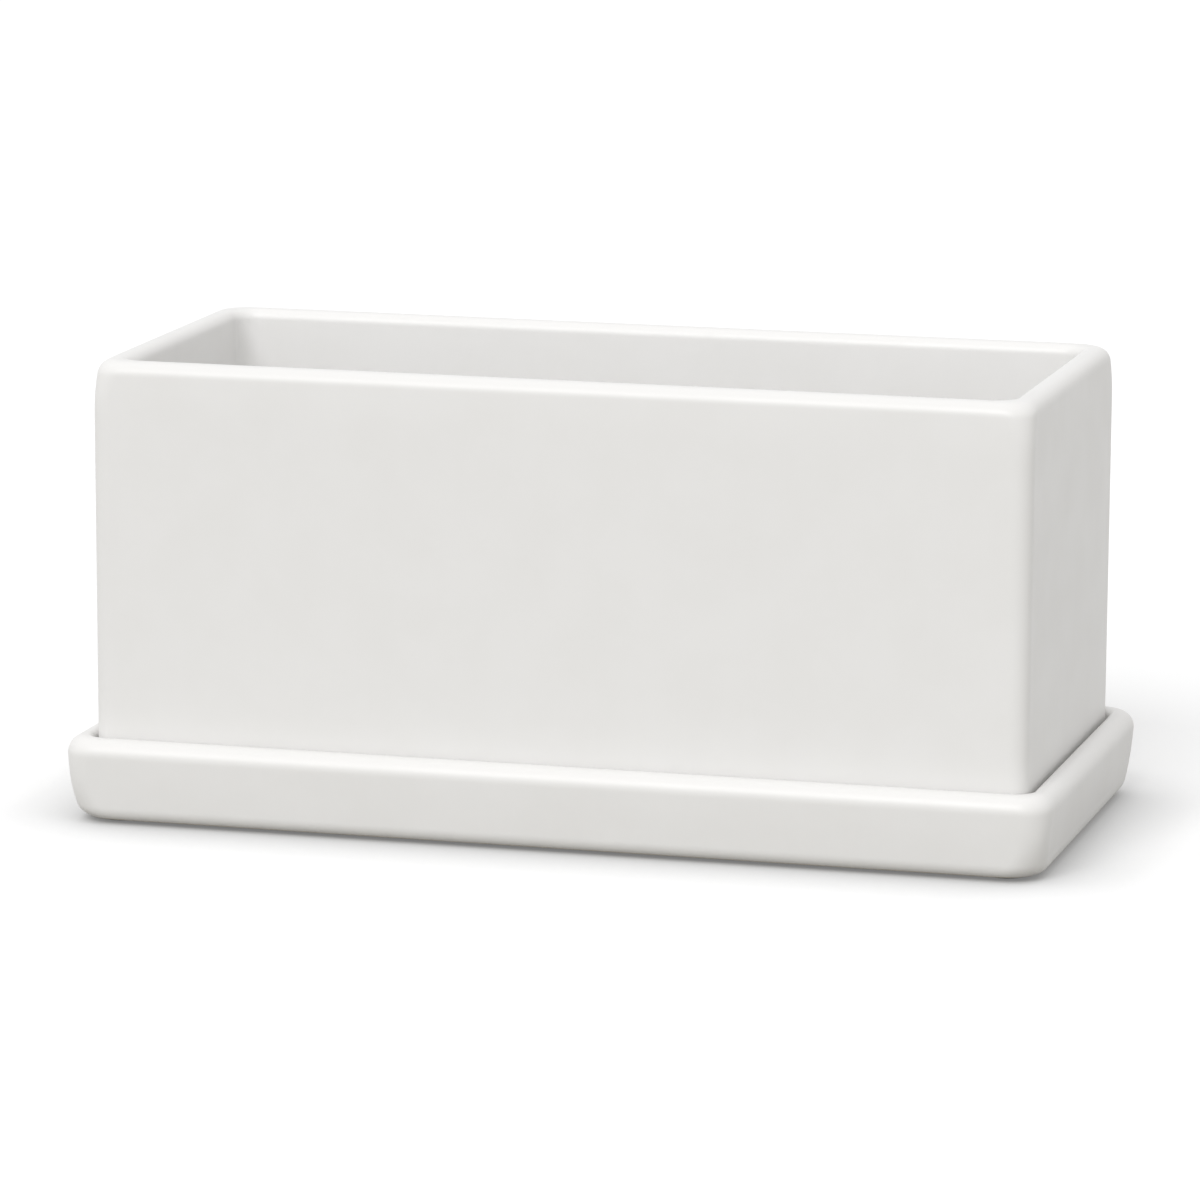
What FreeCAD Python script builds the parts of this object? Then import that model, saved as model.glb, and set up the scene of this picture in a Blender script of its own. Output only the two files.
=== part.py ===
# Indoor herb planter: a long rectangular ceramic pot that stands in a saucer of its own.
# Millimetres, Z up. X runs along the length and Y from the front to the back.
# The origin is on the surface that the planter stands on, under the middle of the saucer.

import FreeCAD, Part
import math
import os
import Sketcher

# the sizes that can be set by themselves: millimetres, degrees, counts and shares
DRIVING_SIZES = {
    # the pot, outside
    "pot_length": 305,
    "pot_width": 134,
    "pot_height": 139.5,
    "pot_wall": 9,
    "pot_floor": 9,
    "pot_draft_angle": 0.15,
    "pot_corner_radius": 5.5,
    # each round of the rim takes a share of the wall that it crowns
    "pot_rim_outer_share": 0.46,
    "pot_rim_inner_share": 0.38,
    # the hollow for the soil
    "hollow_draft_angle": 0.5,
    "hollow_corner_radius": 6.5,
    "hollow_floor_radius": 9,
    # the foot ring that the pot stands on, round a shallow recess
    "foot_ring_width": 12,
    "foot_ring_height": 2,
    "foot_edge_radius": 2.5,
    "foot_recess_corner": 6,
    "foot_recess_bevel": 0.8,
    # the drain holes along the middle of the pot's floor
    "drain_count": 3,
    "drain_diameter": 14,
    "drain_bevel": 1.2,
    # the loose mesh screens over the drain holes
    "screen_diameter": 34,
    "screen_border": 2.2,
    "screen_thickness": 1.2,
    "screen_gap": 3.4,
    "screen_bar": 1.6,
    # the saucer, outside
    "saucer_height": 26.8,
    "saucer_wall": 8,
    "saucer_floor": 7,
    "saucer_flare_angle": 7,
    "saucer_corner_radius": 10,
    "saucer_rim_outer_share": 0.62,
    "saucer_rim_inner_share": 0.26,
    "saucer_bottom_radius": 5,
    # the basin, which clears the pot's rim outline by the gap
    "basin_gap": 1.2,
    "basin_corner_radius": 6,
    "basin_draft_angle": 3,
    "basin_floor_radius": 3,
    # the ribs that hold the pot's foot ring above the drained water, either side of each drain hole
    "rib_end_inset": 16,
    "rib_width": 8,
    "rib_height": 1.5,
    "rib_inset": 4,
    "rib_corner_radius": 3,
    "rib_bevel": 0.5,
    # the dry foot under the saucer, round another shallow recess
    "saucer_foot_width": 16,
    "saucer_recess_depth": 1.5,
    "saucer_recess_corner": 8,
    "saucer_recess_bevel": 0.6,
    # the round pads stuck under the corners of the saucer's foot
    "pad_diameter": 12,
    "pad_thickness": 1,
}

# the sizes that follow from them, each as a name, a formula and what it is
FOLLOWING_SIZES = (
    ("hollow_length", "sizes.pot_length - 2 * sizes.pot_wall", "length of the pot's mouth"),
    ("hollow_width", "sizes.pot_width - 2 * sizes.pot_wall", "width of the pot's mouth"),
    ("hollow_depth", "sizes.pot_height - sizes.pot_floor", "depth of the hollow"),
    ("pot_rim_outer", "sizes.pot_rim_outer_share * sizes.pot_wall", "outer round of the pot's rim"),
    ("pot_rim_inner", "sizes.pot_rim_inner_share * sizes.pot_wall", "inner round of the pot's rim"),
    ("pot_inset", "sizes.pot_height * tan(sizes.pot_draft_angle)", "what the draft takes off at the base"),
    ("foot_inset", "pot_inset + sizes.foot_ring_width", "from the rim's outline to the recess"),
    ("foot_recess_length", "sizes.pot_length - 2 * foot_inset", "length of the recess in the foot"),
    ("foot_recess_width", "sizes.pot_width - 2 * foot_inset", "width of the recess in the foot"),
    ("rib_span", "hollow_length - 2 * sizes.rib_end_inset", "from the first rib to the last"),
    ("rib_start", "-rib_span / 2", "place of the first rib"),
    ("rib_count", "sizes.drain_count + 1", "a rib stands either side of each drain hole"),
    ("rib_length", "sizes.pot_width - 2 * sizes.rib_inset", "length of a rib, under the pot's foot ring"),
    ("rib_top", "sizes.saucer_floor + sizes.rib_height", "level of the ribs' tops in the saucer"),
    ("drain_pitch", "rib_span / sizes.drain_count", "from one drain hole to the next"),
    ("drain_span", "(sizes.drain_count - 1) * drain_pitch", "from the first drain hole to the last"),
    ("drain_start", "-drain_span / 2", "place of the first drain hole"),
    ("drain_row_length", "drain_span + sizes.drain_diameter", "length of the row of drain holes"),
    ("basin_length", "sizes.pot_length + 2 * sizes.basin_gap", "length of the saucer's mouth"),
    ("basin_width", "sizes.pot_width + 2 * sizes.basin_gap", "width of the saucer's mouth"),
    ("basin_depth", "sizes.saucer_height - sizes.saucer_floor", "depth of the basin"),
    ("saucer_length", "basin_length + 2 * sizes.saucer_wall", "length of the saucer at its rim"),
    ("saucer_width", "basin_width + 2 * sizes.saucer_wall", "width of the saucer at its rim"),
    ("saucer_rim_outer", "sizes.saucer_rim_outer_share * sizes.saucer_wall", "outer round of the saucer's rim"),
    ("saucer_rim_inner", "sizes.saucer_rim_inner_share * sizes.saucer_wall", "inner round of the saucer's rim"),
    ("saucer_inset", "sizes.saucer_height * tan(sizes.saucer_flare_angle)", "what the flare takes off"),
    ("edge_inset", "saucer_inset + sizes.saucer_bottom_radius", "from the rim's outline to the flat foot"),
    ("pad_inset", "edge_inset + sizes.saucer_foot_width / 2", "from the rim's outline to a pad's middle"),
    ("pad_x", "saucer_length / 2 - pad_inset", "place of a pad along the length"),
    ("pad_y", "saucer_width / 2 - pad_inset", "place of a pad across the width"),
    ("recess_inset", "edge_inset + sizes.saucer_foot_width", "from the rim's outline to the recess"),
    ("recess_length", "saucer_length - 2 * recess_inset", "length of the recess under the saucer"),
    ("recess_width", "saucer_width - 2 * recess_inset", "width of the recess under the saucer"),
    ("pot_level", "sizes.pad_thickness + rib_top", "level of the pot's foot"),
    ("screen_level", "pot_level + sizes.pot_floor", "level of the pot's floor"),
)

# a face whose normal leans up or down by less than this share is a side of a casting
SIDE_SHARE = 0.5
# how close two places are to count as the same, as a share of the pot's length
SAME_SHARE = 1e-6
# a gap in a screen's mesh that the border leaves less than this share of is closed
SLIVER_SHARE = 0.3

doc = FreeCAD.newDocument("herb_planter")


def fill_sheet():
    """Put each driving size in a cell under its own name."""
    sheet = doc.addObject("Spreadsheet::Sheet", "sizes")
    for row, (name, number) in enumerate(DRIVING_SIZES.items(), start=1):
        sheet.set(f"A{row}", name)
        sheet.set(f"B{row}", str(number))
        sheet.setAlias(f"B{row}", name)
    doc.recompute()


def add_following_sizes():
    """Work out the sizes that follow from the sheet, and keep them under their names."""
    fits = doc.addObject("App::VarSet", "fits")
    for name, formula, meaning in FOLLOWING_SIZES:
        fits.addProperty("App::PropertyFloat", name, "Fits", meaning)
        fits.setExpression(name, formula)
    doc.recompute()


def value(reference):
    """The number behind a reference such as sizes.pot_wall or fits.pot_level."""
    holder, name = reference.split(".")
    return getattr(doc.getObject(holder), name)


def new_body(label, level=None):
    """An empty body that bears the sub-part's name and stands at its level."""
    body = doc.addObject("PartDesign::Body", label)
    body.Label = label
    if level:
        body.setExpression("Placement.Base.z", level)
    return body


def level_sketch(body, name, level=None, shift=None):
    """An empty sketch that lies level, at a height above the body's own base."""
    base_plane = next(plane for plane in body.Origin.OriginFeatures if plane.Role == "XY_Plane")
    sketch = body.newObject("Sketcher::SketchObject", name)
    sketch.AttachmentSupport = [(base_plane, "")]
    sketch.MapMode = "FlatFace"
    if level:
        sketch.setExpression("AttachmentOffset.Base.z", level)
    if shift:
        sketch.setExpression("AttachmentOffset.Base.x", shift)
    return sketch


def bind(sketch, constraint, reference):
    """Add a size to a sketch and tie it to a named one."""
    index = sketch.addConstraint(constraint)
    sketch.setExpression(f"Constraints[{index}]", reference)


def rounded_rectangle(body, name, length, width, corner, level=None, shift=None):
    """A sketch of a rectangle with round corners about its origin: four sides and four arcs."""
    sketch = level_sketch(body, name, level, shift)
    radius = value(corner)
    x = value(length) / 2
    y = value(width) / 2
    # anticlockwise from the front right corner: the middle of each arc and where it starts
    corners = ((1, -1, 270), (1, 1, 0), (-1, 1, 90), (-1, -1, 180))
    for side_x, side_y, start in corners:
        middle = FreeCAD.Vector(side_x * (x - radius), side_y * (y - radius), 0)
        circle = Part.Circle(middle, FreeCAD.Vector(0, 0, 1), radius)
        arc = Part.ArcOfCircle(circle, math.radians(start), math.radians(start + 90))
        sketch.addGeometry(arc, False)
    arcs = range(len(corners))
    for arc in arcs:
        following = (arc + 1) % len(corners)
        side = Part.LineSegment(sketch.Geometry[arc].EndPoint, sketch.Geometry[following].StartPoint)
        line = sketch.addGeometry(side, False)
        sketch.addConstraint(Sketcher.Constraint("Tangent", arc, 2, line, 1))
        sketch.addConstraint(Sketcher.Constraint("Tangent", line, 2, following, 1))
        sketch.addConstraint(Sketcher.Constraint("Vertical" if arc % 2 == 0 else "Horizontal", line))
        if arc:
            sketch.addConstraint(Sketcher.Constraint("Equal", 0, arc))
    right, back, left, front = (len(corners) + arc for arc in arcs)
    sketch.addConstraint(Sketcher.Constraint("Symmetric", front, 1, back, 1, -1, 1))
    bind(sketch, Sketcher.Constraint("DistanceX", left, 1, right, 1, 2 * x), length)
    bind(sketch, Sketcher.Constraint("DistanceY", front, 1, back, 1, 2 * y), width)
    bind(sketch, Sketcher.Constraint("Radius", 0, radius), corner)
    return sketch


def circle_sketch(body, name, diameter, level=None, shift=None):
    """A sketch of one circle about its origin."""
    sketch = level_sketch(body, name, level, shift)
    radius = value(diameter) / 2
    circle = sketch.addGeometry(Part.Circle(FreeCAD.Vector(), FreeCAD.Vector(0, 0, 1), radius), False)
    sketch.addConstraint(Sketcher.Constraint("Coincident", circle, 3, -1, 1))
    bind(sketch, Sketcher.Constraint("Diameter", circle, 2 * radius), diameter)
    return sketch


def pad(body, name, sketch, height):
    """Raise the sketch into a solid."""
    solid = body.newObject("PartDesign::Pad", name)
    solid.Profile = sketch
    solid.setExpression("Length", height)
    doc.recompute()
    return solid


def pocket(body, name, sketch, depth, from_below=False):
    """Cut the sketch into the body, and make sure that the cut goes into the solid."""
    before = body.Shape.Volume
    cut = body.newObject("PartDesign::Pocket", name)
    cut.Profile = sketch
    cut.Reversed = from_below
    cut.setExpression("Length", depth)
    doc.recompute()
    if not cut.Shape.Volume < before:
        raise RuntimeError(f"{name} cuts nothing")
    return cut


def row_along(body, name, feature, span, count):
    """Repeat a feature evenly along the length."""
    row = body.newObject("PartDesign::LinearPattern", name)
    row.Originals = [feature]
    row.Direction = (feature.Profile[0], ["H_Axis"])
    row.setExpression("Length", span)
    row.setExpression("Occurrences", count)
    body.Tip = row
    doc.recompute()
    return row


def slack():
    """How far apart two places may be and still count as the same."""
    return SAME_SHARE * value("sizes.pot_length")


def within(item, length, width):
    """Whether an edge or a face lies inside a rectangle about the body's middle."""
    box = item.BoundBox
    reach_x = max(abs(box.XMin), abs(box.XMax))
    reach_y = max(abs(box.YMin), abs(box.YMax))
    return reach_x < value(length) / 2 + slack() and reach_y < value(width) / 2 + slack()


def is_level(item):
    """Whether an edge or a face lies level."""
    return item.BoundBox.ZLength < slack()


def at_level(item, level):
    """Whether an edge or a face lies level, at this height above the body's base."""
    return is_level(item) and abs(item.BoundBox.ZMin - level) < slack()


def is_side(face):
    """Whether a face stands upright, or nearly so."""
    return abs(face.normalAt(0, 0).z) < SIDE_SHARE


def face_names(shape, wanted):
    """The names of a shape's faces that are wanted."""
    return [f"Face{index}" for index, face in enumerate(shape.Faces, start=1) if wanted(face)]


def edge_names(shape, wanted):
    """The names of a shape's edges that are wanted."""
    return [f"Edge{index}" for index, edge in enumerate(shape.Edges, start=1) if wanted(edge)]


def draft(body, name, feature, level, angle, inner=None):
    """Lean the sides inwards below a level: all of them, or those within an inner rectangle."""
    sides = face_names(feature.Shape, lambda face: is_side(face) and (inner is None or within(face, *inner)))
    top = face_names(feature.Shape, lambda face: not is_side(face) and at_level(face, value(level)))
    lean = body.newObject("PartDesign::Draft", name)
    lean.Base = (feature, sides)
    lean.NeutralPlane = (feature, top[:1])
    lean.Reversed = True
    lean.setExpression("Angle", angle)
    doc.recompute()
    return lean


def soften(body, name, kind, feature, size, wanted):
    """Take the sharpness off the feature's edges that are wanted: a fillet or a chamfer of this size."""
    edges = edge_names(feature.Shape, wanted)
    if not edges:
        raise RuntimeError(f"{name} has no edge to soften")
    softened = body.newObject(f"PartDesign::{kind}", name)
    softened.Base = (feature, edges)
    softened.setExpression("Radius" if kind == "Fillet" else "Size", size)
    doc.recompute()
    return softened


def fillet(body, name, feature, radius, wanted):
    """Round the feature's edges that are wanted."""
    return soften(body, name, "Fillet", feature, radius, wanted)


def bevel(body, name, feature, size, wanted):
    """Bevel the feature's edges that are wanted."""
    return soften(body, name, "Chamfer", feature, size, wanted)


def make_pot():
    """The slip-cast pot: a drafted block, hollowed, with a soft rim, a foot ring and drain holes."""
    body = new_body("pot", "fits.pot_level")
    rim_level = value("sizes.pot_height")
    mouth = ("fits.hollow_length", "fits.hollow_width")

    outline = rounded_rectangle(body, "pot_outline", "sizes.pot_length", "sizes.pot_width", "sizes.pot_corner_radius")
    block = pad(body, "pot_block", outline, "sizes.pot_height")
    block = draft(body, "pot_draft", block, "sizes.pot_height", "sizes.pot_draft_angle")

    opening = rounded_rectangle(body, "pot_mouth", *mouth, "sizes.hollow_corner_radius", "sizes.pot_height")
    hollow = pocket(body, "pot_hollow", opening, "fits.hollow_depth")
    hollow = draft(body, "hollow_draft", hollow, "sizes.pot_height", "sizes.hollow_draft_angle", mouth)

    floor_level = value("sizes.pot_floor")
    soft = fillet(body, "hollow_floor_round", hollow, "sizes.hollow_floor_radius",
                  lambda edge: at_level(edge, floor_level))
    soft = fillet(body, "rim_outer_round", soft, "fits.pot_rim_outer",
                  lambda edge: at_level(edge, rim_level) and not within(edge, *mouth))
    soft = fillet(body, "rim_inner_round", soft, "fits.pot_rim_inner",
                  lambda edge: at_level(edge, rim_level) and within(edge, *mouth))
    fillet(body, "foot_edge_round", soft, "sizes.foot_edge_radius", lambda edge: at_level(edge, 0))

    recess = rounded_rectangle(body, "foot_recess_outline", "fits.foot_recess_length", "fits.foot_recess_width",
                               "sizes.foot_recess_corner")
    recess = pocket(body, "foot_recess", recess, "sizes.foot_ring_height", from_below=True)
    bevel(body, "foot_recess_edge", recess, "sizes.foot_recess_bevel",
          lambda edge: at_level(edge, 0) and within(edge, "fits.foot_recess_length", "fits.foot_recess_width"))

    hole = circle_sketch(body, "drain_outline", "sizes.drain_diameter", "sizes.pot_floor", "fits.drain_start")
    hole = pocket(body, "drain_hole", hole, "sizes.pot_floor")
    holes = row_along(body, "drain_row", hole, "fits.drain_span", "sizes.drain_count")
    bevel(body, "drain_edge", holes, "sizes.drain_bevel",
          lambda edge: is_level(edge) and within(edge, "fits.drain_row_length", "sizes.drain_diameter"))
    return body


def make_saucer():
    """The saucer: a flared tray with a round rim, ribs in its basin and a dry foot."""
    body = new_body("saucer", "sizes.pad_thickness")
    rim_level = value("sizes.saucer_height")
    mouth = ("fits.basin_length", "fits.basin_width")

    outline = rounded_rectangle(body, "saucer_outline", "fits.saucer_length", "fits.saucer_width",
                                "sizes.saucer_corner_radius")
    block = pad(body, "saucer_block", outline, "sizes.saucer_height")
    block = draft(body, "saucer_flare", block, "sizes.saucer_height", "sizes.saucer_flare_angle")

    opening = rounded_rectangle(body, "basin_outline", *mouth, "sizes.basin_corner_radius", "sizes.saucer_height")
    basin = pocket(body, "basin", opening, "fits.basin_depth")
    basin = draft(body, "basin_draft", basin, "sizes.saucer_height", "sizes.basin_draft_angle", mouth)

    floor_level = value("sizes.saucer_floor")
    soft = fillet(body, "basin_floor_round", basin, "sizes.basin_floor_radius",
                  lambda edge: at_level(edge, floor_level))
    soft = fillet(body, "saucer_rim_outer_round", soft, "fits.saucer_rim_outer",
                  lambda edge: at_level(edge, rim_level) and not within(edge, *mouth))
    soft = fillet(body, "saucer_rim_inner_round", soft, "fits.saucer_rim_inner",
                  lambda edge: at_level(edge, rim_level) and within(edge, *mouth))
    fillet(body, "saucer_bottom_round", soft, "sizes.saucer_bottom_radius", lambda edge: at_level(edge, 0))

    recess = rounded_rectangle(body, "saucer_recess_outline", "fits.recess_length", "fits.recess_width",
                               "sizes.saucer_recess_corner")
    recess = pocket(body, "saucer_recess", recess, "sizes.saucer_recess_depth", from_below=True)
    bevel(body, "saucer_recess_edge", recess, "sizes.saucer_recess_bevel",
          lambda edge: at_level(edge, 0) and within(edge, "fits.recess_length", "fits.recess_width"))

    strip = rounded_rectangle(body, "rib_outline", "sizes.rib_width", "fits.rib_length",
                              "sizes.rib_corner_radius", "sizes.saucer_floor", "fits.rib_start")
    rib = pad(body, "rib", strip, "sizes.rib_height")
    ribs = row_along(body, "rib_row", rib, "fits.rib_span", "fits.rib_count")
    rib_top = value("fits.rib_top")
    bevel(body, "rib_edge", ribs, "sizes.rib_bevel", lambda edge: at_level(edge, rib_top))
    return body


def make_pad(label, side_x, side_y):
    """A round pad, punched out of a sheet and stuck under one corner of the saucer's foot."""
    body = new_body(label)
    body.setExpression("Placement.Base.x", f"{side_x} * fits.pad_x")
    body.setExpression("Placement.Base.y", f"{side_y} * fits.pad_y")
    outline = circle_sketch(body, f"{label}_outline", "sizes.pad_diameter")
    pad(body, f"{label}_disc", outline, "sizes.pad_thickness")
    return body


def mesh_gaps(radius, gap, bar):
    """The outlines of the square gaps between crossing bars, cut off at a circle, without the slivers there."""
    disc = Part.Face(Part.Wire(Part.makeCircle(radius)))
    reach = math.ceil(radius / (gap + bar))
    places = [(gap + bar) * step - gap / 2 for step in range(-reach, reach + 1)]
    gaps = []
    for x in places:
        for y in places:
            square = Part.makePlane(gap, gap, FreeCAD.Vector(x, y, 0))
            gaps += [face.OuterWire for face in square.common(disc).Faces if face.Area > SLIVER_SHARE * gap ** 2]
    return gaps


def make_screen(label, place):
    """A moulded disc of crossing bars inside a plain border, over the drain hole at this place in the row."""
    outer = value("sizes.screen_diameter") / 2
    rim = Part.Wire(Part.makeCircle(outer))
    gaps = mesh_gaps(outer - value("sizes.screen_border"), value("sizes.screen_gap"), value("sizes.screen_bar"))
    sheet_of_mesh = Part.makeFace([rim] + gaps, "Part::FaceMakerBullseye")
    screen = doc.addObject("Part::Feature", label)
    screen.Shape = sheet_of_mesh.extrude(FreeCAD.Vector(0, 0, value("sizes.screen_thickness")))
    along = value("fits.drain_start") + place * value("fits.drain_pitch")
    screen.Placement.Base = FreeCAD.Vector(along, 0, value("fits.screen_level"))
    return screen


def make_parts():
    """Every sub-part, by the name of its file."""
    parts = [make_saucer(), make_pot()]
    for place, side in enumerate(("left", "middle", "right")):
        parts.append(make_screen(f"drain_screen_{side}", place))
    for end, side_y in (("front", -1), ("back", 1)):
        for side, side_x in (("left", -1), ("right", 1)):
            parts.append(make_pad(f"pad_{end}_{side}", side_x, side_y))
    return {part.Label: part for part in parts}


def check(parts):
    """Stop if any object failed, or if any sub-part is not one sound solid."""
    doc.recompute()
    for item in doc.Objects:
        if "Invalid" in item.State or "Error" in item.State:
            raise RuntimeError(f"{item.Name} failed")
    for name, part in parts.items():
        if part.Shape.isNull() or not part.Shape.isValid() or len(part.Shape.Solids) != 1:
            raise RuntimeError(f"{name} is not one sound solid")


fill_sheet()
add_following_sizes()
sub_parts = make_parts()
check(sub_parts)
os.makedirs("parts", exist_ok=True)
for name, part in sub_parts.items():
    part.Shape.exportStep(os.path.join("parts", f"{name}.step"))
    box = part.Shape.optimalBoundingBox(False, False)
    print(f"{name}: {part.Shape.Volume / 1000:.1f} cm3, "
          f"{box.XLength:.2f} x {box.YLength:.2f} x {box.ZLength:.2f} mm, from z {box.ZMin:.2f}")
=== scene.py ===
import math

import bmesh
import bpy
import numpy as np
from mathutils import Matrix, Vector


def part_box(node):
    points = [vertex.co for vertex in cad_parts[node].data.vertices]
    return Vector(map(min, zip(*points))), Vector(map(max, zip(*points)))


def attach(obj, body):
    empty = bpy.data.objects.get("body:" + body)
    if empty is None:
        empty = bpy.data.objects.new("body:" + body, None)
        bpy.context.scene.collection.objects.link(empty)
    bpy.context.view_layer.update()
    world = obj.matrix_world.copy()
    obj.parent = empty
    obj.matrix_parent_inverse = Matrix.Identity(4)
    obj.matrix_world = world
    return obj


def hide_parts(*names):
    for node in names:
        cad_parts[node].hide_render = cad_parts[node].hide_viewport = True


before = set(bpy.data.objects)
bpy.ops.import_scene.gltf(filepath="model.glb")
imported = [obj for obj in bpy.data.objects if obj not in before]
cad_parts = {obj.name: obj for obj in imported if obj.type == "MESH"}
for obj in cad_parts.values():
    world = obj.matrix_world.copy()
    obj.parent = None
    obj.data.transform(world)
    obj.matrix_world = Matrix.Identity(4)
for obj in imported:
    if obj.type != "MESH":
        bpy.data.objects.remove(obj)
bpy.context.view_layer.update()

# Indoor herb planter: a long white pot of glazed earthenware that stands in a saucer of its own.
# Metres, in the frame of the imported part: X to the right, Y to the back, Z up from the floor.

mm = 0.001


# The saucer: a flared tray of slip-cast earthenware in satin white glaze, with a thick round rim.
# Four low ribs in its basin hold the pot above the drained water, and the glaze is wiped off the
# foot, so that it doesn't stick to the kiln shelf.

saucer_low, saucer_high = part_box("saucer")
saucer_half = (saucer_high - saucer_low) / 2
saucer_height = saucer_high.z - saucer_low.z
saucer_wall = 8 * mm
saucer_floor = 7 * mm
saucer_flare = math.tan(math.radians(7))
saucer_corner = 10 * mm
saucer_rim_outer = 4.96 * mm
saucer_rim_inner = 2.08 * mm
saucer_bottom = 5 * mm
saucer_soft_reach = 14 * mm
saucer_lean = 0.3 * mm
saucer_rim_growth = 1.5 * mm
saucer_foot_growth = 7 * mm
basin_lean = math.tan(math.radians(3))
basin_corner = 6 * mm
basin_round = 3 * mm
foot_width = 16 * mm
foot_recess = 1.5 * mm
foot_recess_corner = 8 * mm
foot_recess_round = 0.5 * mm
foot_inner_round = 0.6 * mm
recess_margin = 3 * mm
rib_count = 4
rib_half_width = 4 * mm
rib_half_length = 63 * mm
rib_height = 1.5 * mm
rib_corner = 3 * mm
rib_edge = 0.5 * mm
rib_pitch = 85 * mm
rib_foot_round = 0.25 * mm
rib_margin = 0.3 * mm
floor_margin = 0.12 * mm

# How finely the surfaces are divided, and what counts as level, as one point and as nothing.

least_corner = 1.2 * mm
section_step = 2.5 * mm
side_step = 7 * mm
holding_step = 0.6 * mm
level_margin = 0.001 * mm
weld_reach = 0.003 * mm
round_steps = 9
middle_rows = 8
divide_points = 24
rounding_slack = 1e-9
approach_shares = (0, 0.25, 0.5, 0.75)


def steps_along(length):
    """Shares of the way along a straight stretch: even steps, with a closer one at either end that keeps
    the shading of the round next to it from spreading."""
    count = max(1, round(length / section_step))
    even = np.linspace(0, 1, count + 1)
    if length < 4 * holding_step:
        return even
    return np.sort(np.concatenate([even, [holding_step / length, 1 - holding_step / length]]))


def wall_section(corners):
    """A wall's section as rows of inset, height, corner radius in plan and a glaze mark of pooling and
    painted light.

    Each corner is an inset, a height, the radius that rounds it and its corner radius in plan. The arc's
    middle lies on the line that halves the angle between both sides, at radius / sin(angle / 2), and the
    arc starts and ends at radius / tan(angle / 2) from the corner. Its corner radius in plan falls
    as much as its inset grows. The glaze mark rises to 1 in a hollow round, where glaze pools and shade is
    painted, and falls to -1 on a full one, a painted highlight."""
    corners = np.array(corners)
    stretches = [np.array([[*corners[0, :2], corners[0, 3], 0]])]
    for before, here, after in zip(corners, corners[1:], corners[2:]):
        to_before = (before - here)[:2] / np.linalg.norm((before - here)[:2])
        to_after = (after - here)[:2] / np.linalg.norm((after - here)[:2])
        half_angle = math.acos(to_before @ to_after) / 2
        radius = here[2]
        halfway = (to_before + to_after) / np.linalg.norm(to_before + to_after)
        middle = here[:2] + halfway * radius / math.sin(half_angle)
        first = (here[:2] + to_before * radius / math.tan(half_angle) - middle) / radius
        last = (here[:2] + to_after * radius / math.tan(half_angle) - middle) / radius
        turn = math.acos(first @ last)
        share = np.linspace(0, 1, round_steps + 1)[:, None]
        outwards = (np.sin((1 - share) * turn) * first + np.sin(share * turn) * last) / math.sin(turn)
        points = middle + radius * outwards
        plan = np.maximum(here[0] + here[3] - points[:, :1], least_corner)
        is_hollow = to_before[0] * to_after[1] < to_before[1] * to_after[0]
        # Painted shade in a hollow round, on top of pooled glaze, and a painted highlight on a full one.
        pool_and_painted_light = np.sin(share * math.pi) * (1 if is_hollow else -1)
        stretches.append(np.hstack([points, plan, pool_and_painted_light]))
    stretches.append(np.array([[*corners[-1, :2], corners[-1, 3], 0]]))
    rows = [stretches[0]]
    for start, end in zip(stretches, stretches[1:]):
        share = steps_along(np.linalg.norm(end[0, :2] - start[-1, :2]))[1:-1, None]
        rows += [start[-1] + share * (end[0] - start[-1]), end]
    return np.concatenate(rows)


def rim_row_of(section):
    """The section's first row at the rim's full height, where its outside ends."""
    return np.argmax(section[:, 1] > section[:, 1].max() - level_margin)


def sponged(section, reach, lean, rim_growth, foot_growth):
    """Softens the outside, as sponging the seams off the soft clay does.

    Below the rim it leans in by the square of the way up the last stretch, and its corner radius in plan
    grows at the same rate. Towards the foot that radius grows in the same way, by the way down."""
    height = section[:, 1]
    rim_row = rim_row_of(section)
    is_outside = np.arange(len(section)) <= rim_row
    climb = is_outside * np.clip(1 - (height[rim_row] - height) / reach, 0, 1) ** 2
    fall = is_outside * np.clip(1 - height / reach, 0, 1) ** 2
    section[:, 0] += lean * climb
    section[:, 2] += rim_growth * climb + foot_growth * fall
    return section


def ring_stations(along, across):
    """Stations once round a rounded rectangle, anticlockwise from its front left corner.

    A station is a place and a direction. Its point on a ring is the place, times the half sizes less the
    corner radius, plus the direction times that radius. Along a side the place runs from -1 to 1 by the
    shares given and the direction is steady. Round a corner the place is steady and the direction turns."""
    turns = np.linspace(0, math.pi / 2, round_steps + 1)[1:-1, None]
    places, directions = [], []
    for quarter in range(4):
        angle = quarter * math.pi / 2
        ahead = np.array([math.cos(angle), math.sin(angle)])
        out = np.array([math.sin(angle), -math.cos(angle)])
        shares = (along, across)[quarter % 2][:, None]
        places += [shares * ahead + out, np.ones_like(turns) * (ahead + out)]
        directions += [np.ones_like(shares) * out, np.cos(turns) * out + np.sin(turns) * ahead]
    return np.concatenate(places), np.concatenate(directions)


def side_shares(cuts, half_length):
    """Shares from -1 to 1 along a side, in even steps between the cuts, closer at the two ends."""
    shares = [np.array([-1, holding_step / half_length - 1])]
    stops = [-1, *cuts, 1]
    for start, end in zip(stops, stops[1:]):
        count = max(2, round((end - start) * half_length / side_step))
        shares.append(np.linspace(start, end, count + 1)[1:])
    return np.sort(np.concatenate([*shares, [1 - holding_step / half_length]]))


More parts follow.
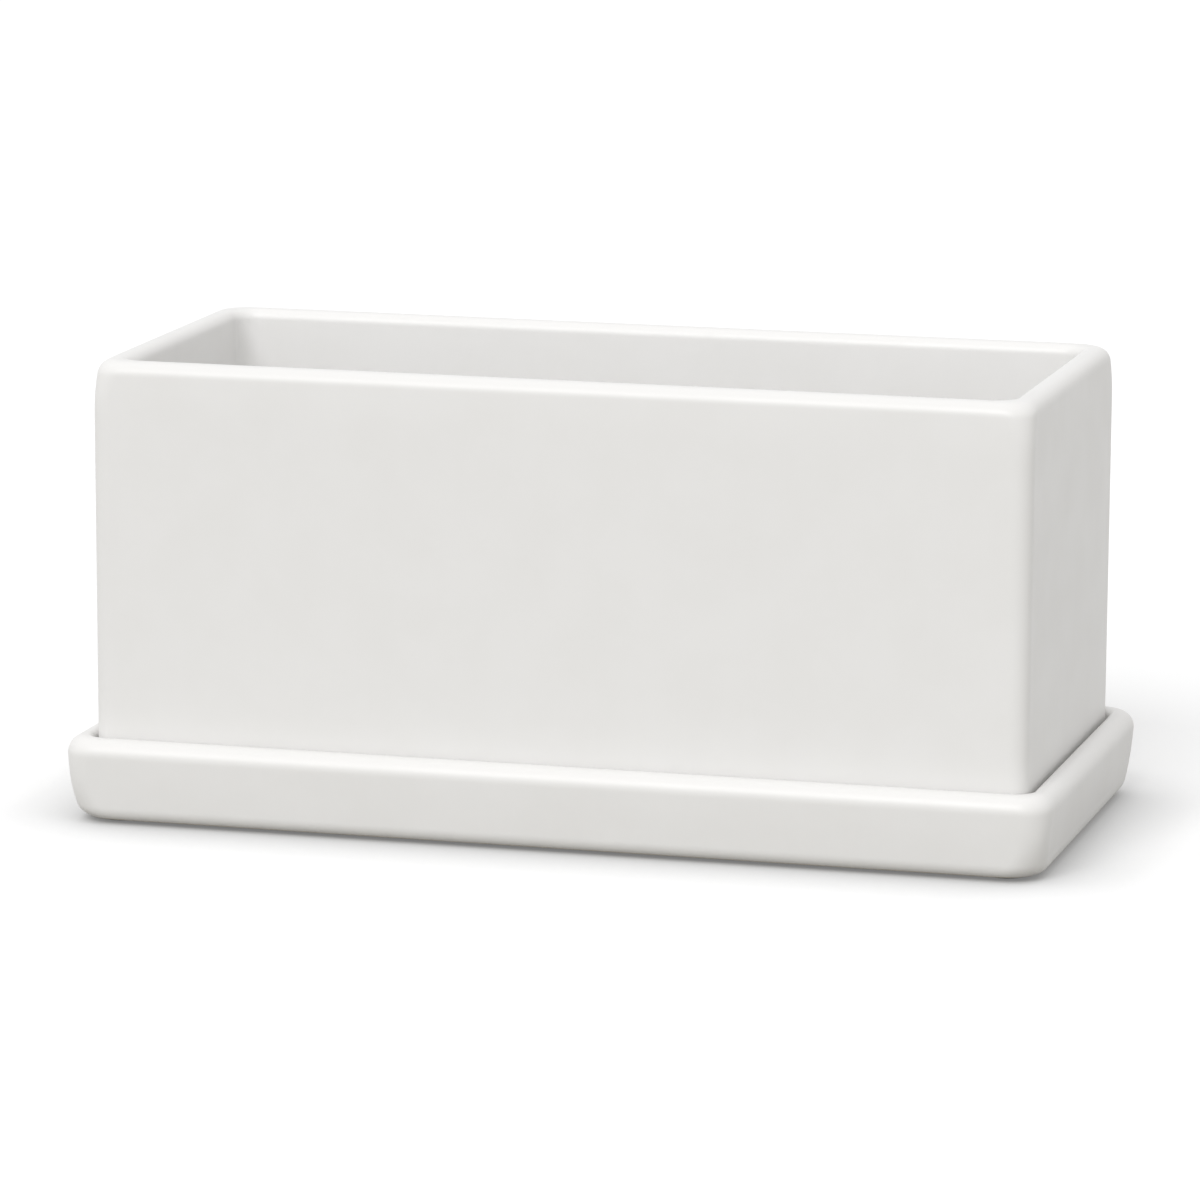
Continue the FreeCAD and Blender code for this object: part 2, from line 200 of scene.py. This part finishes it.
def carry_round(section, stations, half_length, half_width, level):
    """The section carried once round the outline, as rows of points with the glaze mark of pooling and
    painted light.

    By sin(2 * turn) ** 2 / 2 of the turn round a corner, the inside gets more pooled glaze and painted shade,
    and the outside a lighter, painted highlight."""
    places, directions = stations
    inset, height, plan, pool_and_painted_light = section.T[:, :, None]
    x = places[:, 0] * (half_length - inset - plan) + directions[:, 0] * plan
    y = places[:, 1] * (half_width - inset - plan) + directions[:, 1] * plan
    # Painted shade in the inside corners and a painted highlight on the outside ones.
    in_corner = 4 * (directions[:, 0] * directions[:, 1]) ** 2
    is_inside = np.arange(len(section))[:, None] > rim_row_of(section)
    corner_pool_and_painted_light = np.where(is_inside, in_corner, -in_corner) / 2
    return np.stack([x, y, level + height + 0 * x, np.clip(pool_and_painted_light + corner_pool_and_painted_light, -1, 1)], -1)


def close_to_middle(ring, steps):
    """Rows that shrink a ring of points evenly on to the middle line of its rectangle."""
    reach = np.abs(ring[:, :2]).max(0)
    line = np.clip(ring[:, 0], reach[1] - reach[0], reach[0] - reach[1])
    middle = np.stack([line, 0 * line, ring[:, 2], 0 * line], -1)
    share = np.linspace(0, 1, steps + 1)[1:, None, None]
    return ring + share * (middle - ring)


def cells_of(ring, stations, cuts, spread):
    """The floor inside a ring, divided across its length: one closed loop of points for each cell.

    The divides join the stations where the front and the back side reach each cut, and have points at the
    shares of spread. The end cells run round the ring's ends, the others from divide to divide."""
    places, directions = stations
    is_front = directions[:, 1] < rounding_slack - 1
    front = [np.flatnonzero(is_front & np.isclose(places[:, 0], cut))[0] for cut in cuts]
    is_back = directions[:, 1] > 1 - rounding_slack
    back = [np.flatnonzero(is_back & np.isclose(places[:, 0], cut))[0] for cut in cuts]
    divides = [ring[f] + spread[:, None] * (ring[b] - ring[f]) for f, b in zip(front, back)]
    loops = [np.concatenate([ring[back[0]:], ring[:front[0] + 1], divides[0]])]
    for left in range(len(cuts) - 1):
        right = left + 1
        loops.append(np.concatenate([ring[front[left]:front[right] + 1], divides[right],
                                     ring[back[right]:back[left] + 1], divides[left][::-1]]))
    loops.append(np.concatenate([ring[front[-1]:back[-1] + 1], divides[-1][::-1]]))
    return loops


def island(loop, middle_x, half_sizes, section):
    """A raised island with the floor round it, from a cell's loop in to the middle line of the island's top.

    A loop point's way from the island's middle, over the cell's reach to that side, is pushed out on to a
    square. Times the half sizes less the inset, that is a point of the island's outline, whose corners are
    then rounded: what lies beyond an arc's middle is set at the corner radius from it."""
    away = loop[:, :2] - [middle_x, 0]
    square = away / np.where(away < 0, -away.min(0), away.max(0))
    square /= np.abs(square).max(1, keepdims=True)
    rows = []
    for inset, height, plan, pool_and_painted_light in section:
        half = np.array(half_sizes) - inset
        corner = min(plan, *half)
        sharp = square * half
        arc_middle = np.clip(sharp, corner - half, half - corner)
        out = sharp - arc_middle
        length = np.maximum(np.linalg.norm(out, axis=1, keepdims=True), rounding_slack)
        outline = arc_middle + out / length * corner
        level = loop[:, 2] + height
        rows.append(np.stack([middle_x + outline[:, 0], outline[:, 1], level, np.full(len(loop), pool_and_painted_light)], -1))
    approach = [loop + share * (rows[0] - loop) for share in approach_shares]
    return np.stack([*approach, *rows])


def make_piece(name, patches):
    """One closed mesh from patches of points, whose rows each run once round."""
    points = np.concatenate([patch.reshape(-1, 4) for patch in patches])
    quads = []
    start = 0
    for patch in patches:
        rows, columns = patch.shape[:2]
        index = np.arange(start, start + rows * columns).reshape(rows, columns)
        following = np.roll(index, -1, axis=1)
        quads.append(np.stack([index[:-1], following[:-1], following[1:], index[1:]], -1).reshape(-1, 4))
        start += rows * columns
    mesh = bpy.data.meshes.new(name)
    mesh.from_pydata(points[:, :3].tolist(), [], np.concatenate(quads).tolist())
    pool_and_painted_light = mesh.attributes.new("glaze_pool_and_painted_light", "FLOAT", "POINT")
    pool_and_painted_light.data.foreach_set("value", points[:, 3].astype(np.float32))
    welded = bmesh.new()
    welded.from_mesh(mesh)
    bmesh.ops.remove_doubles(welded, verts=welded.verts, dist=weld_reach)
    bmesh.ops.recalc_face_normals(welded, faces=welded.faces)
    welded.to_mesh(mesh)
    welded.free()
    mesh.polygons.foreach_set("use_smooth", np.ones(len(mesh.polygons), bool))
    piece = bpy.data.objects.new(name, mesh)
    bpy.context.scene.collection.objects.link(piece)
    return piece


class Level:
    """A number that changes over a surface. Arithmetic on it adds Math nodes to its finish."""

    def __init__(self, finish, socket):
        self.finish = finish
        self.socket = socket

    def combine(self, operation, first, second):
        """The outcome of a Math node on two numbers."""
        return self.finish.node("ShaderNodeMath", {"operation": operation}, {0: first, 1: second})

    def __add__(self, other):
        return self.combine("ADD", self, other)

    __radd__ = __add__

    def __sub__(self, other):
        return self.combine("SUBTRACT", self, other)

    def __rsub__(self, other):
        return self.combine("SUBTRACT", other, self)

    def __mul__(self, other):
        return self.combine("MULTIPLY", self, other)

    __rmul__ = __mul__


class Finish:
    """The nodes of a material or a world, under way."""

    def __init__(self, owner):
        owner.use_nodes = True
        self.owner = owner
        self.tree = owner.node_tree
        self.tree.nodes.clear()

    def node(self, kind, settings, sockets, output=0):
        """Adds a node of a kind: first its settings, then what fills its sockets. Gives back one output."""
        node = self.tree.nodes.new(kind)
        for name, setting in settings.items():
            setattr(node, name, setting)
        for name, filling in sockets.items():
            if isinstance(filling, Level):
                self.tree.links.new(filling.socket, node.inputs[name])
            else:
                node.inputs[name].default_value = filling
        return Level(self, node.outputs[output]) if node.outputs else None

    def place(self):
        """The point of the surface, in metres."""
        return self.node("ShaderNodeTexCoord", {}, {}, "Object")

    def height(self):
        """How high the point is, in metres."""
        return self.node("ShaderNodeSeparateXYZ", {}, {0: self.place()}, "Z")

    def noise(self, grain, detail, stretch=(1, 1, 1)):
        """Uneven noise about a half, whose grains are this wide in metres and stretched by these factors."""
        scale = [1 / (grain * factor) for factor in stretch]
        place = self.node("ShaderNodeMapping", {}, {"Vector": self.place(), "Scale": scale})
        return self.node("ShaderNodeTexNoise", {}, {"Vector": place, "Scale": 1.0, "Detail": detail})

    def rise(self, level, low, high):
        """0 below low and 1 above high, with a smooth rise between them."""
        settings = {"interpolation_type": "SMOOTHSTEP"}
        return self.node("ShaderNodeMapRange", settings, {"Value": level, "From Min": low, "From Max": high})

    def blend(self, share, first, second):
        """The first colour where share is 0 and the second where it is 1. The Mix node's sockets are counted,
        because its sockets for numbers and for colours have the same names."""
        return self.node("ShaderNodeMix", {"data_type": "RGBA"}, {0: share, 6: first, 7: second}, 2)

    def bump(self, level, depth, normal=None):
        """Bumps as deep as the level times this depth, in metres, on top of an earlier bump."""
        sockets = {"Height": level, "Distance": depth}
        if normal:
            sockets["Normal"] = normal
        return self.node("ShaderNodeBump", {}, sockets)

    def surface(self, sockets):
        """Ends the material in one plain shader and gives the material back."""
        shader = self.node("ShaderNodeBsdfPrincipled", {}, sockets)
        self.node("ShaderNodeOutputMaterial", {}, {"Surface": shader})
        return self.owner


glaze_colour = (0.83, 0.823, 0.811, 1)
glaze_cloud = (0.812, 0.804, 0.789, 1)
pooled_glaze_and_painted_shade = (0.80, 0.795, 0.775, 1)
painted_highlight_on_full_rounds = (0.84, 0.83, 0.815, 1)
bisque_colour = (0.78, 0.74, 0.66, 1)
bisque_grain = (0.70, 0.655, 0.575, 1)
noise_low = 0.3
noise_high = 0.7
cloud_grain = 22 * mm
cloud_share = 0.7
cloud_roughness = 0.04
run_grain = 5 * mm
run_stretch = (1, 1, 9)
grit_grain = 0.5 * mm
grit_depth = 0.05 * mm
skin_grain = 0.8 * mm
skin_depth = 0.004 * mm
skin_roughness = 0.06
ripple_grain = 14 * mm
ripple_depth = 0.05 * mm
bare_roughness = 0.86
glaze_smoothness = 0.5
glaze_line_low = 0.9 * mm
glaze_line_high = 1.1 * mm
glaze_line_grain = 9 * mm
glaze_line_wander = 0.5 * mm


def glazed(name, foot_level):
    """Satin white glaze: faintly clouded, a little deeper in tone in the hollow corners, where glaze pools
    and shade is painted, and lighter on the full ones, a painted highlight, with a fine waxy skin. It ends in
    a soft line just above the bare foot."""
    finish = Finish(bpy.data.materials.new(name))
    cloud = finish.rise(finish.noise(cloud_grain, 3), noise_low, noise_high)
    run = finish.noise(run_grain, 2, run_stretch)
    pool_and_painted_light = finish.node("ShaderNodeAttribute", {"attribute_name": "glaze_pool_and_painted_light"}, {}, "Fac")
    colour = finish.blend(cloud_share * cloud + (1 - cloud_share) * run, glaze_colour, glaze_cloud)
    # Painted shade where the mark is above 0, with pooled glaze, and a painted highlight where it is below 0.
    colour = finish.blend(finish.rise(pool_and_painted_light, 0, 1), colour, pooled_glaze_and_painted_shade)
    colour = finish.blend(finish.rise(0 - pool_and_painted_light, 0, 1), colour, painted_highlight_on_full_rounds)
    grit = finish.noise(grit_grain, 4)
    bisque = finish.blend(grit, bisque_colour, bisque_grain)
    glaze_line = finish.height() + glaze_line_wander * finish.noise(glaze_line_grain, 1)
    is_glazed = finish.rise(glaze_line, foot_level + glaze_line_low, foot_level + glaze_line_high)
    colour = finish.blend(is_glazed, bisque, colour)
    skin = finish.noise(skin_grain, 2)
    unevenness = cloud_roughness * cloud + skin_roughness * skin
    roughness = is_glazed * (unevenness - glaze_smoothness) + bare_roughness
    normal = finish.bump(finish.noise(ripple_grain, 1), ripple_depth)
    normal = finish.bump(skin, skin_depth, normal)
    normal = finish.bump(grit * (1 - is_glazed), grit_depth, normal)
    return finish.surface({"Base Color": colour, "Roughness": roughness, "Normal": normal})


flare_inset = saucer_height * saucer_flare
recess_inset = flare_inset + saucer_bottom + foot_width
basin_inset = saucer_wall + (saucer_height - saucer_floor) * basin_lean
saucer_section = wall_section([
    (recess_inset + recess_margin, foot_recess, 0, foot_recess_corner),
    (recess_inset, foot_recess, foot_recess_round, foot_recess_corner),
    (recess_inset, 0, foot_inner_round, foot_recess_corner),
    (flare_inset, 0, saucer_bottom, saucer_corner - flare_inset),
    (0, saucer_height, saucer_rim_outer, saucer_corner),
    (saucer_wall, saucer_height, saucer_rim_inner, basin_corner),
    (basin_inset, saucer_floor, basin_round, basin_corner + saucer_wall - basin_inset),
    (basin_inset + basin_round + floor_margin, saucer_floor, 0, least_corner),
])
saucer_section[:, 0] -= saucer_section[:, 0].min()
saucer_section = sponged(
    saucer_section, saucer_soft_reach, saucer_lean, saucer_rim_growth, saucer_foot_growth)
basin_reach = saucer_half.x - saucer_section[-1, 0] - saucer_section[-1, 2]
rib_cuts = [(divide - rib_count / 2) * rib_pitch / basin_reach for divide in range(1, rib_count)]
saucer_stations = ring_stations(side_shares(rib_cuts, saucer_half.x), side_shares([0], saucer_half.y))
saucer_shell = carry_round(saucer_section, saucer_stations, saucer_half.x, saucer_half.y, saucer_low.z)
divide_spread = (1 - np.cos(np.linspace(0, math.pi, divide_points + 2)[1:-1])) / 2
basin_cells = cells_of(saucer_shell[-1], saucer_stations, rib_cuts, divide_spread)
rib_section = wall_section([
    (-rib_margin, 0, 0, rib_corner + rib_margin),
    (0, 0, rib_foot_round, rib_corner),
    (0, rib_height, rib_edge, rib_corner),
    (rib_half_width, rib_height, 0, least_corner),
])
rib_places = [(place - (rib_count - 1) / 2) * rib_pitch for place in range(rib_count)]
ribs = [island(loop, place, (rib_half_width, rib_half_length), rib_section)
        for loop, place in zip(basin_cells, rib_places)]
saucer_underside = close_to_middle(saucer_shell[0], middle_rows)[::-1]
saucer = make_piece("saucer_casting", [np.concatenate([saucer_underside, saucer_shell]), *ribs])
saucer.data.materials.append(glazed("satin_glaze_on_the_saucer", saucer_low.z))
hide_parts("saucer")
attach(saucer, "saucer")


# The pads: four round pads of closed-cell foam, punched out of a self-adhesive sheet and stuck under the
# corners of the saucer's foot, so that it stands level and doesn't scratch the sill.

pad_edge = 0.3 * mm
foam_colour = (0.74, 0.74, 0.72, 1)
foam_shade = (0.62, 0.62, 0.60, 1)
foam_cell = 0.35 * mm
foam_cell_low = 0.35
foam_cell_high = 0.7
foam_cell_depth = 0.08 * mm
foam_cell_roughness = 0.08
foam_roughness = 0.82


def turned(profile, middle, steps=72):
    """A profile of radius and height turned once about an upright line through the middle."""
    angle = np.linspace(0, 2 * math.pi, steps, endpoint=False)
    radius, height = np.array(profile).T[:, :, None]
    x = middle[0] + radius * np.cos(angle)
    y = middle[1] + radius * np.sin(angle)
    return np.stack([x, y, middle[2] + height + 0 * x, 0 * x], -1)


def foam():
    """Pale foam rubber with a fine skin of closed cells."""
    finish = Finish(bpy.data.materials.new("pale_closed_cell_foam"))
    cells = finish.noise(foam_cell, 3)
    colour = finish.blend(finish.rise(cells, foam_cell_low, foam_cell_high), foam_colour, foam_shade)
    roughness = foam_cell_roughness * cells + foam_roughness
    normal = finish.bump(cells, foam_cell_depth)
    return finish.surface({"Base Color": colour, "Roughness": roughness, "Normal": normal})


foam_finish = foam()
bulge = np.linspace(-math.pi / 2, math.pi / 2, 2 * round_steps + 1)
for corner in ("front_left", "front_right", "back_left", "back_right"):
    pad_low, pad_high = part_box("pad_" + corner)
    pad_radius = (pad_high.x - pad_low.x) / 2
    pad_height = pad_high.z - pad_low.z
    pad_middle = ((pad_low.x + pad_high.x) / 2, (pad_low.y + pad_high.y) / 2, pad_low.z)
    cut_edge = [(pad_radius - pad_edge * (1 - math.cos(turn)), pad_height * (1 + math.sin(turn)) / 2)
                for turn in bulge]
    inner = pad_radius - 2 * pad_edge
    pad_profile = [(0, 0), (inner, 0), *cut_edge, (inner, pad_height), (0, pad_height)]
    pad = make_piece("foam_pad_" + corner, [turned(pad_profile, pad_middle)])
    pad.data.materials.append(foam_finish)
    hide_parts("pad_" + corner)
    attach(pad, "saucer")


# The pot: one long slip-cast box in the same glaze, with a slight draft, a rounded rim and a hollow for the
# soil. It stands on a bare foot ring round a shallow recess, and three drain holes go through its floor.

pot_low, pot_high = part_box("pot")
pot_half = (pot_high - pot_low) / 2
pot_height = pot_high.z - pot_low.z
pot_wall = 9 * mm
pot_floor = 9 * mm
pot_draft = math.tan(math.radians(0.15))
pot_corner = 5.5 * mm
pot_rim_outer = 4.14 * mm
pot_rim_inner = 3.42 * mm
hollow_lean = math.tan(math.radians(0.5))
hollow_corner = 6.5 * mm
hollow_round = 9 * mm
ring_width = 12 * mm
ring_height = 2 * mm
ring_round = 2.5 * mm
ring_corner = 6 * mm
ring_recess_round = 0.6 * mm
ring_inner_round = 0.8 * mm
hollow_margin = 1 * mm
hole_radius = 7 * mm
hole_round = 1.2 * mm
hole_divide_points = 16
hole_divide_shares = (-0.5, 0.5)
hole_approach_shares = np.array([0, 0.25, 0.5, 0.7, 0.85])
wall_bow = 0.25 * mm
pot_soft_reach = 16 * mm
pot_lean = 0.45 * mm
pot_rim_growth = 4.8 * mm
corner_sag = 0.5 * mm
sag_reach = 22 * mm
screen_sides = ("left", "middle", "right")
hole_places = [sum(corner.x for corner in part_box("drain_screen_" + side)) / 2 for side in screen_sides]
hole_pitch = hole_places[1] - hole_places[0]


def drain_patch(floor_loop, roof_loop, middle_x):
    """The pot's floor round a drain hole, then the hole, then the recess's roof round it.

    Each floor point's way from the hole's middle, at unit length, is its direction in every circle of the
    hole. The circles widen by an arc at the top and bottom: radius + round * (1 - sin turn)."""
    away = floor_loop[:, :2] - [middle_x, 0]
    direction = away / np.linalg.norm(away, axis=1, keepdims=True)
    turn = np.linspace(0, math.pi / 2, round_steps)
    widths = hole_radius + hole_round * (1 - np.sin(turn))
    drops = hole_round * (1 - np.cos(turn))
    floor_level, roof_level = floor_loop[0, 2], roof_loop[0, 2]
    widths = [widths[0] + holding_step, *widths, *widths[::-1], widths[0] + holding_step]
    levels = [floor_level, *(floor_level - drops), *(roof_level + drops[::-1]), roof_level]
    circles = [np.stack([middle_x + width * direction[:, 0], width * direction[:, 1],
                         np.full(len(away), level), np.full(len(away), 0.0)], -1)
               for width, level in zip(widths, levels)]
    inwards = [floor_loop + share * (circles[0] - floor_loop) for share in hole_approach_shares]
    outwards = [roof_loop + share * (circles[-1] - roof_loop) for share in hole_approach_shares[::-1]]
    return np.stack([*inwards, *circles, *outwards])


def slump(patch):
    """Moves the clay as it moves while it dries. The long walls draw in towards the rim, most at mid-length,
    and the rim sags at its corners, by the square of the way into each."""
    x, y, z = patch[..., 0], patch[..., 1], patch[..., 2]
    height = (z - pot_low.z) / pot_height
    along = np.clip((np.abs(x) - pot_half.x) / sag_reach + 1, 0, 1)
    across = np.clip((np.abs(y) - pot_half.y) / sag_reach + 1, 0, 1)
    patch[..., 2] = z - corner_sag * height * (along * across) ** 2
    patch[..., 1] = y * (1 - wall_bow / pot_half.y * (1 - (x / pot_half.x) ** 2) * height)
    return patch


draft_inset = pot_height * pot_draft
ring_inset = draft_inset + ring_width
hollow_inset = pot_wall + (pot_height - pot_floor) * hollow_lean
pot_section = wall_section([
    (ring_inset + recess_margin, ring_height, 0, ring_corner),
    (ring_inset, ring_height, ring_recess_round, ring_corner),
    (ring_inset, 0, ring_inner_round, ring_corner),
    (draft_inset, 0, ring_round, pot_corner - draft_inset),
    (0, pot_height, pot_rim_outer, pot_corner),
    (pot_wall, pot_height, pot_rim_inner, hollow_corner),
    (hollow_inset, pot_floor, hollow_round, hollow_corner + pot_wall - hollow_inset),
    (hollow_inset + hollow_round + hollow_margin, pot_floor, 0, least_corner),
])
pot_section[:, 0] -= pot_section[:, 0].min()
pot_section = sponged(pot_section, pot_soft_reach, pot_lean, pot_rim_growth, 0)
floor_reach = pot_half.x - pot_section[-1, 0] - pot_section[-1, 2]
hole_cuts = [share * hole_pitch / floor_reach for share in hole_divide_shares]
pot_stations = ring_stations(side_shares(hole_cuts, pot_half.x), side_shares([0], pot_half.y))
pot_shell = carry_round(pot_section, pot_stations, pot_half.x, pot_half.y, pot_low.z)
even_spread = np.linspace(0, 1, hole_divide_points + 2)[1:-1]
floor_cells = cells_of(pot_shell[-1], pot_stations, hole_cuts, even_spread)
roof_cells = cells_of(pot_shell[0], pot_stations, hole_cuts, even_spread)
drains = [drain_patch(*loops, place) for *loops, place in zip(floor_cells, roof_cells, hole_places)]
pot = make_piece("pot_casting", [slump(patch) for patch in (pot_shell, *drains)])
pot.data.materials.append(glazed("satin_glaze_on_the_pot", pot_low.z))
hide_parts("pot")
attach(pot, "pot")


# The drain screens: discs of dark moulded polyethylene net inside a plain border, laid loose over the
# drain holes to keep the soil in.

screen_border = 2.2 * mm
screen_bar = 1.6 * mm
screen_pitch = 5 * mm
screen_edge = 0.35 * mm
screen_edge_points = 4
bars_each_side = 3
bar_steps_per_pitch = 6
bar_height_share = 0.8
crossing_swell = 0.12
plastic_colour = (0.028, 0.032, 0.030, 1)
plastic_dull = (0.045, 0.048, 0.046, 1)
plastic_flow = 3 * mm
plastic_flow_roughness = 0.2
plastic_roughness = 0.42
plastic_grain = 0.3 * mm
plastic_grain_depth = 0.015 * mm


def soft_block(half_width, half_height):
    """The outline of a bar's section: a rectangle whose corners are rounded by an arc."""
    turn = np.linspace(0, math.pi / 2, screen_edge_points)
    arc = np.stack([np.cos(turn), np.sin(turn)], -1) * screen_edge
    middles = np.array([half_width, half_height]) - screen_edge
    quarter = middles + arc
    mirrored = quarter[::-1] * [-1, 1]
    return np.concatenate([quarter, mirrored, -quarter, -mirrored])


def net_bar(offset, reach, across, level, middle):
    """One bar of the net, from side to side of the border. Its width swells where bars cross it, by a cosine
    of the way along over the pitch, and its two ends close inside the border."""
    along = np.linspace(-reach, reach, 2 * round(reach / screen_pitch * bar_steps_per_pitch) + 1)
    swell = 1 + crossing_swell * np.cos(2 * math.pi * (along / screen_pitch - 0.5))
    half_height = bar_height_share * screen_height / 2
    outline = soft_block(screen_bar / 2, half_height)
    side = offset + swell[:, None] * outline[:, 0]
    run = along[:, None] + 0 * side
    height = level + half_height + outline[:, 1] + 0 * side
    x, y = (side, run) if across else (run, side)
    body = np.stack([middle[0] + x, middle[1] + y, middle[2] + height, 0 * x], -1)
    caps = [np.broadcast_to(end.mean(0), end.shape) for end in (body[0], body[-1])]
    return np.concatenate([caps[:1], body, caps[1:]])


def moulded_net():
    """Matte polyethylene, faintly uneven in tone and gloss as it came from the mould."""
    finish = Finish(bpy.data.materials.new("matte_moulded_net"))
    flow = finish.noise(plastic_flow, 3)
    grain = finish.noise(plastic_grain, 2)
    colour = finish.blend(finish.rise(flow, noise_low, noise_high), plastic_colour, plastic_dull)
    roughness = plastic_flow_roughness * flow + plastic_roughness
    normal = finish.bump(grain, plastic_grain_depth)
    return finish.surface({"Base Color": colour, "Roughness": roughness, "Normal": normal})


net_finish = moulded_net()
for side in screen_sides:
    screen_low, screen_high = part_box("drain_screen_" + side)
    screen_radius = (screen_high.x - screen_low.x) / 2
    screen_height = screen_high.z - screen_low.z
    screen_middle = ((screen_low.x + screen_high.x) / 2, 0, screen_low.z)
    border_outline = soft_block(screen_border / 2, screen_height / 2)
    border_outline += [screen_radius - screen_border / 2, screen_height / 2]
    border = turned([*border_outline, border_outline[0]], screen_middle)
    mesh_radius = screen_radius - screen_border / 2
    offsets = [(place + 0.5) * screen_pitch for place in range(-bars_each_side, bars_each_side)]
    bars = [net_bar(offset, math.sqrt(mesh_radius ** 2 - offset ** 2), across, lift, screen_middle)
            for across, lift in ((True, 0), (False, (1 - bar_height_share) * screen_height))
            for offset in offsets]
    screen = make_piece("net_screen_" + side, [border, *bars])
    screen.data.materials.append(net_finish)
    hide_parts("drain_screen_" + side)
    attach(screen, "screen_" + side)


# The setting: a plain pale floor that runs out of sight, with painted shade close round the object, under a
# white sky, and one broad soft lamp at the front left. The camera stands at the photograph's angle, in front
# and to the right.

floor_half = 15.0
floor_drop = 0.03 * mm
floor_seen = (0.86, 0.86, 0.86, 1)
painted_contact_shade = (0.28, 0.28, 0.28, 1)
floor_bounce = (0.39, 0.38, 0.352, 1)
floor_glow = (0.18, 0.18, 0.18, 1)
painted_shade_reach = 34 * mm
painted_shade_rays = 16
no_light = (0, 0, 0, 1)
sky_level = 0.79
sky_seen = 1.0
lamp_level = 1.32
lamp_colour = (0.985, 0.99, 1.0)
lamp_spread = math.radians(30)
lamp_turn = math.radians(9)
lamp_height = math.radians(38)
frame_pixels = 1200
focal_pixels = 6594.0
sensor_width = 36.0
camera_turn = math.radians(15.25)
camera_tilt = math.radians(10.76)
camera_roll = math.radians(0.26)
camera_distance = 2.131
aim_right = -2.35 * mm
aim_height = 68 * mm


def seen_directly(finish):
    """1 for what the camera sees, also by reflection or through glass, and 0 for light on the object."""
    rays = [finish.node("ShaderNodeLightPath", {}, {}, f"Is {kind} Ray")
            for kind in ("Camera", "Glossy", "Transmission")]
    return rays[0].combine("MAXIMUM", rays[0].combine("MAXIMUM", rays[0], rays[1]), rays[2])


floor_mesh = bpy.data.meshes.new("pale_floor")
corners = [(x * floor_half, y * floor_half, -floor_drop) for x, y in ((-1, -1), (1, -1), (1, 1), (-1, 1))]
floor_mesh.from_pydata(corners, [], [(0, 1, 2, 3)])
floor = bpy.data.objects.new("pale_floor", floor_mesh)
bpy.context.scene.collection.objects.link(floor)
floor_finish = Finish(bpy.data.materials.new("pale_floor"))
is_seen = seen_directly(floor_finish)
# Painted shade: where ambient occlusion finds the object within reach, the floor's colour as the camera sees
# it darkens towards the painted contact shade.
open_share_for_painted_shade = floor_finish.node(
    "ShaderNodeAmbientOcclusion", {"samples": painted_shade_rays}, {"Distance": painted_shade_reach}, "AO")
seen_colour_with_painted_shade = floor_finish.blend(open_share_for_painted_shade, painted_contact_shade, floor_seen)
floor_mesh.materials.append(floor_finish.surface({
    "Base Color": floor_finish.blend(is_seen, floor_bounce, seen_colour_with_painted_shade),
    "Roughness": 1.0,
    "Specular IOR Level": 0.0,
    "Emission Color": floor_finish.blend(is_seen, no_light, floor_glow),
    "Emission Strength": 1.0,
}))

world = bpy.data.worlds.new("white_sky")
bpy.context.scene.world = world
sky = Finish(world)
strength = sky_level + (sky_seen - sky_level) * seen_directly(sky)
background = sky.node("ShaderNodeBackground", {}, {"Color": (1, 1, 1, 1), "Strength": strength})
sky.node("ShaderNodeOutputWorld", {}, {"Surface": background})

lamp = bpy.data.objects.new("soft_lamp", bpy.data.lights.new("soft_lamp", "SUN"))
lamp.data.energy = lamp_level
lamp.data.color = lamp_colour
lamp.data.angle = lamp_spread
to_lamp = Vector((-math.sin(lamp_turn) * math.cos(lamp_height), -math.cos(lamp_turn) * math.cos(lamp_height),
                  math.sin(lamp_height)))
lamp.rotation_euler = to_lamp.to_track_quat("Z", "Y").to_euler()
bpy.context.scene.collection.objects.link(lamp)

camera = bpy.data.objects.new("camera", bpy.data.cameras.new("camera"))
camera.data.sensor_width = sensor_width
camera.data.lens = sensor_width * focal_pixels / frame_pixels
back = Vector((math.sin(camera_turn) * math.cos(camera_tilt), -math.cos(camera_turn) * math.cos(camera_tilt),
               math.sin(camera_tilt)))
level_right = Vector((math.cos(camera_turn), math.sin(camera_turn), 0))
level_up = back.cross(level_right)
right = math.cos(camera_roll) * level_right + math.sin(camera_roll) * level_up
up = math.cos(camera_roll) * level_up - math.sin(camera_roll) * level_right
aim = aim_right * level_right + Vector((0, 0, aim_height))
facing = Matrix((right, up, back)).transposed().to_4x4()
camera.matrix_world = Matrix.Translation(aim + camera_distance * back) @ facing
camera.data.clip_end = 4 * floor_half
bpy.context.scene.collection.objects.link(camera)
bpy.context.scene.camera = camera
bpy.context.scene.view_settings.view_transform = "Standard"
